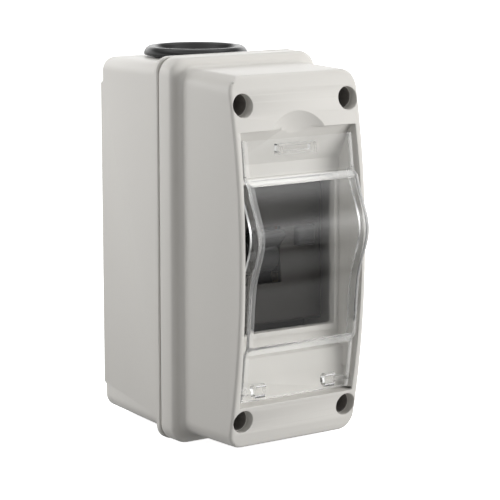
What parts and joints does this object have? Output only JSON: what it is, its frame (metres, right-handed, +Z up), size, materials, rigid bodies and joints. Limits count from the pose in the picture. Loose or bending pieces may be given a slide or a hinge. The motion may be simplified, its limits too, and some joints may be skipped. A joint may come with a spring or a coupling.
{
  "type": "residual current device",
  "caption": "Two-module residual current device in a weatherproof wall box with a bowed lid, a hinged clear bulged window and a rubber cable entry.",
  "frame": {"origin": "centre of the flat pad on the back of the box, which lies on the wall", "axes": "+Z up, +Y into the wall, -Y out of the front face, +X to the right of someone facing it"},
  "size_m": [0.056, 0.0867, 0.1249],
  "materials": {
    "enclosure_plastic": "satin moulded ABS, light warm grey",
    "clear_window": "clear moulded polycarbonate",
    "black_rubber": "matt moulded rubber",
    "device_plastic": "fine-eroded charcoal thermoplastic",
    "toggle_plastic": "semi-gloss black",
    "inner_plastic": "dark grey glass-filled nylon",
    "zinc_steel": "zinc-plated",
    "copper": "bright copper",
    "winding": "enamelled copper wire",
    "brass": "machined brass",
    "core_epoxy": "epoxy-coated core",
    "resistor_glaze": "glazed film resistor"
  },
  "bodies": {
    "enclosure": {"base_box": "enclosure_plastic", "lid": "enclosure_plastic", "cable_gland": "black_rubber", "lid_gasket": "black_rubber", "device_rear_housing": "device_plastic", "device_front_cover": "device_plastic", "earth_cradle": "inner_plastic", "din_rail": "zinc_steel", "rail_screw_left": "zinc_steel", "rail_screw_right": "zinc_steel", "toggle_axle": "zinc_steel", "toggle_spring": "zinc_steel", "test_button_spring": "zinc_steel", "relay_frame": "zinc_steel", "latch_pin": "zinc_steel", "arc_chute_left": "zinc_steel", "arc_chute_right": "zinc_steel", "lid_screw_1": "zinc_steel", "lid_screw_2": "zinc_steel", "lid_screw_3": "zinc_steel", "lid_screw_4": "zinc_steel", "terminal_clamp_1": "zinc_steel", "terminal_clamp_2": "zinc_steel", "terminal_clamp_3": "zinc_steel", "terminal_clamp_4": "zinc_steel", "terminal_screw_1": "zinc_steel", "terminal_screw_2": "zinc_steel", "terminal_screw_3": "zinc_steel", "terminal_screw_4": "zinc_steel", "fixed_contact_left": "copper", "fixed_contact_right": "copper", "supply_conductor_left": "copper", "supply_conductor_right": "copper", "test_contact": "copper", "relay_coil": "winding", "secondary_winding": "winding", "earth_bar": "brass", "earth_screw_1": "brass", "earth_screw_2": "brass", "toroid_core": "core_epoxy", "test_resistor": "resistor_glaze"},
    "window": {"window": "clear_window"},
    "toggle": {"toggle": "toggle_plastic"},
    "contacts": {"contact_carrier": "inner_plastic", "contact_arm_left": "copper", "contact_arm_right": "copper", "contact_spring_left": "zinc_steel", "contact_spring_right": "zinc_steel"},
    "test_button": {"test_button": "toggle_plastic"},
    "din_clip": {"din_clip": "inner_plastic"},
    "relay_plunger": {"relay_plunger": "zinc_steel"},
    "trip_latch": {"trip_latch": "inner_plastic"}
  },
  "joints": [
    {"name": "window_hinge", "type": "hinge", "parent": "enclosure", "child": "window", "pos_m": [0, -0.0744, -0.0402], "axis": [1, 0, 0], "range_deg": [0, 95]},
    {"name": "toggle_hinge", "type": "hinge", "parent": "enclosure", "child": "toggle", "pos_m": [-0.004, -0.0585, 0], "axis": [1, 0, 0], "range_deg": [0, 76]},
    {"name": "contact_swing", "type": "hinge", "parent": "enclosure", "child": "contacts", "pos_m": [0, -0.0462, -0.002], "axis": [1, 0, 0], "range_deg": [0, 22.8]},
    {"name": "test_button_press", "type": "slide", "parent": "enclosure", "child": "test_button", "axis": [0, 1, 0], "range_m": [0, 0.0012], "stiffness_N_per_m": 400, "springref_m": -0.001},
    {"name": "din_clip_slide", "type": "slide", "parent": "enclosure", "child": "din_clip", "axis": [0, 0, -1], "range_m": [0, 0.003], "stiffness_N_per_m": 800, "springref_m": -0.001},
    {"name": "relay_plunger_slide", "type": "slide", "parent": "enclosure", "child": "relay_plunger", "axis": [0, 0, 1], "range_m": [0, 0.0012], "stiffness_N_per_m": 200, "springref_m": -0.001},
    {"name": "trip_latch_swing", "type": "hinge", "parent": "enclosure", "child": "trip_latch", "pos_m": [-0.009, -0.031, 0.0246], "axis": [1, 0, 0], "range_deg": [0, 10.2]}
  ],
  "couplings": [
    {"joint": "contact_swing", "follows": "toggle_hinge", "ratio": 0.3},
    {"joint": "trip_latch_swing", "follows": "relay_plunger_slide", "rad_per_m": 145}
  ]
}
